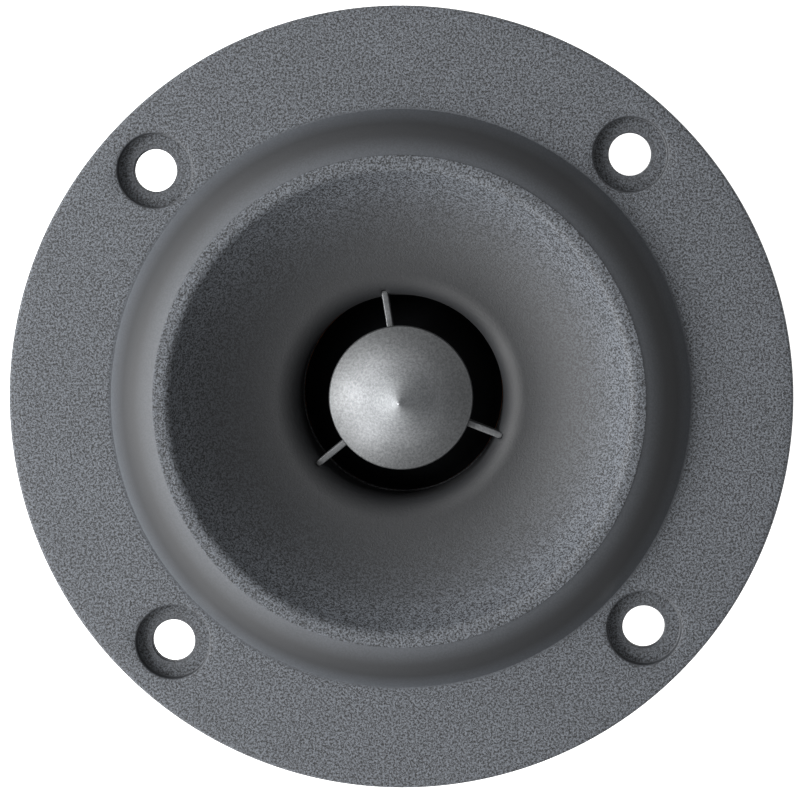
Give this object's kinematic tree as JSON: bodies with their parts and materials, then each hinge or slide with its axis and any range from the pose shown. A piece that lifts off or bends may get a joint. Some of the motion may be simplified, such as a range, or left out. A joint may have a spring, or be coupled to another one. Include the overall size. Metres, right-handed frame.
{
  "type": "car tweeter",
  "caption": "Round flanged car horn tweeter with a pointed bullet phase plug, compression diaphragm, ferrite magnet system and push-button wire terminals at the back.",
  "frame": {"origin": "centre of the panel screw circle, on the rear face of the flange", "axes": "+Z out of the horn along its axis towards the listener; the panel screws are at 45 degrees to X and Y; the terminals lie along X"},
  "size_m": [0.098, 0.098, 0.0666],
  "materials": {
    "horn_abs": "black ABS with a spark-eroded grain",
    "cover_abs": "black ABS, fine moulded grain",
    "plug_aluminium": "bead-blasted cast aluminium",
    "dome_foil": "black anodised aluminium foil",
    "surround_cloth": "treated cloth",
    "former_foil": "rolled foil",
    "winding_copper": "enamelled copper wire",
    "carrier_plastic": "moulded plastic",
    "gasket_foam": "closed-cell foam",
    "tag_brass": "tinned brass",
    "tinsel": "braided copper ribbon",
    "plate_steel": "zinc-plated steel",
    "magnet_ferrite": "ground ferrite",
    "felt": "wool felt",
    "screw_steel": "black zinc-plated steel",
    "board_phenolic": "paper phenolic board",
    "post_nickel": "nickel-plated brass",
    "spring_steel": "stainless spring wire",
    "cap_red": "red ABS",
    "cap_black": "black ABS",
    "wire_red": "red PVC insulation",
    "wire_black": "black PVC insulation"
  },
  "bodies": {
    "housing": {"horn_body": "horn_abs", "phase_plug": "plug_aluminium", "diaphragm_surround": "surround_cloth", "diaphragm_carrier": "carrier_plastic", "carrier_gasket": "gasket_foam", "locating_pins": "tag_brass", "top_plate": "plate_steel", "magnet": "magnet_ferrite", "back_plate": "plate_steel", "pole_piece": "plate_steel", "pole_felt": "felt", "rear_cover": "cover_abs", "assembly_screws": "screw_steel", "terminal_board": "board_phenolic", "terminal_board_screws": "screw_steel", "post_nuts": "post_nickel", "carrier_tag_positive": "tag_brass", "lead_out_positive": "tinsel", "post_positive": "post_nickel", "push_spring_positive": "spring_steel", "solder_tag_positive": "tag_brass", "hookup_wire_positive": "wire_red", "carrier_tag_negative": "tag_brass", "lead_out_negative": "tinsel", "post_negative": "post_nickel", "push_spring_negative": "spring_steel", "solder_tag_negative": "tag_brass", "hookup_wire_negative": "wire_black"},
    "diaphragm": {"diaphragm_dome": "dome_foil", "voice_coil_former": "former_foil", "voice_coil_winding": "winding_copper"},
    "push_button_positive": {"push_cap_positive": "cap_red", "plunger_positive": "post_nickel"},
    "push_button_negative": {"push_cap_negative": "cap_black", "plunger_negative": "post_nickel"}
  },
  "joints": [
    {"name": "diaphragm_travel", "type": "slide", "parent": "housing", "child": "diaphragm", "axis": [0, 0, 1], "range_m": [-0.0003, 0.0003], "stiffness_N_per_m": 60, "deforming": ["diaphragm_surround"]},
    {"name": "push_positive", "type": "slide", "parent": "housing", "child": "push_button_positive", "axis": [0, 0, 1], "range_m": [0, 0.0025], "stiffness_N_per_m": 400, "springref_m": -0.002, "deforming": ["push_spring_positive"]},
    {"name": "push_negative", "type": "slide", "parent": "housing", "child": "push_button_negative", "axis": [0, 0, 1], "range_m": [0, 0.0025], "stiffness_N_per_m": 400, "springref_m": -0.002, "deforming": ["push_spring_negative"]}
  ]
}
